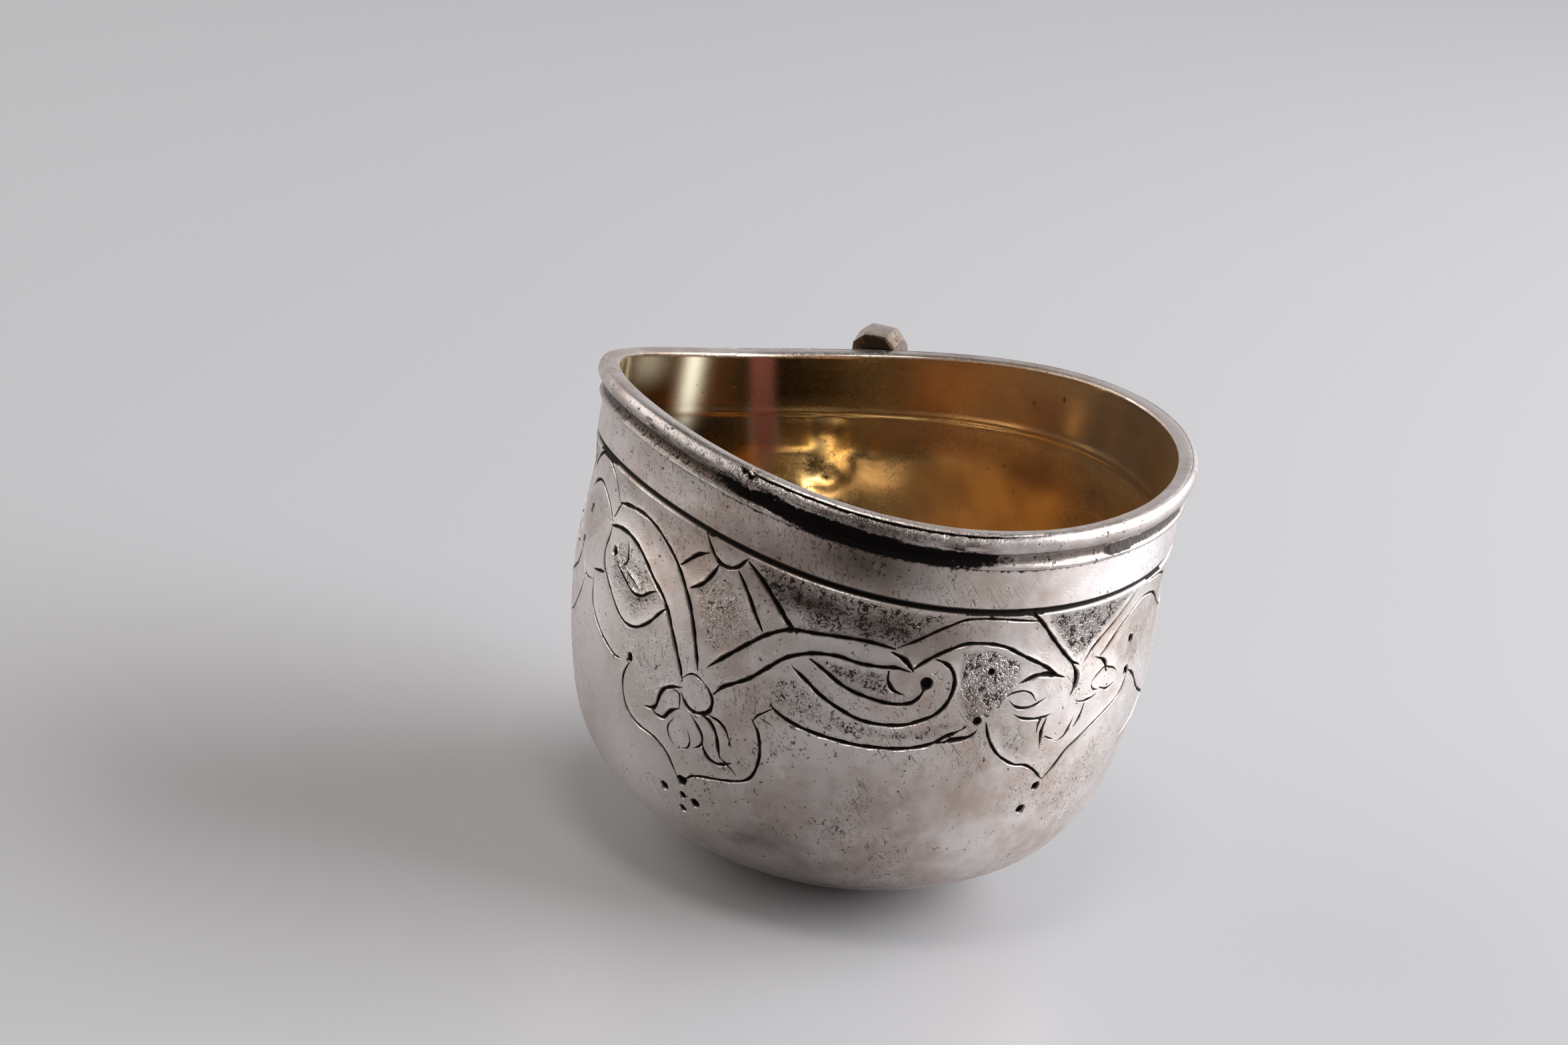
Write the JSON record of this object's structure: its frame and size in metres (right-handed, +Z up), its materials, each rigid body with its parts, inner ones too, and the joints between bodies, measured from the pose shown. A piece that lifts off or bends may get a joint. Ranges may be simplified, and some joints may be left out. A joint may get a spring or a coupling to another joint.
{
  "type": "charka",
  "caption": "Small round-bodied drinking cup with a waved rim, a moulded wire round the lip and one faceted loop handle.",
  "frame": {"origin": "centre of the small flat that the cup rests on", "axes": "+Z up through the mouth, +Y towards the handle, +X to the right with the handle at the back"},
  "size_m": [0.064, 0.0773, 0.052],
  "materials": {
    "engraved_silver": "worn silver sheet, hand engraved, blackened in the lines, gilt and polished inside",
    "moulded_wire": "worn silver wire, dark in its groove",
    "cast_silver": "worn faceted silver bar with rubbed edges"
  },
  "bodies": {
    "root": {"bowl": "engraved_silver", "rim_moulding": "moulded_wire", "handle": "cast_silver"}
  },
  "joints": []
}
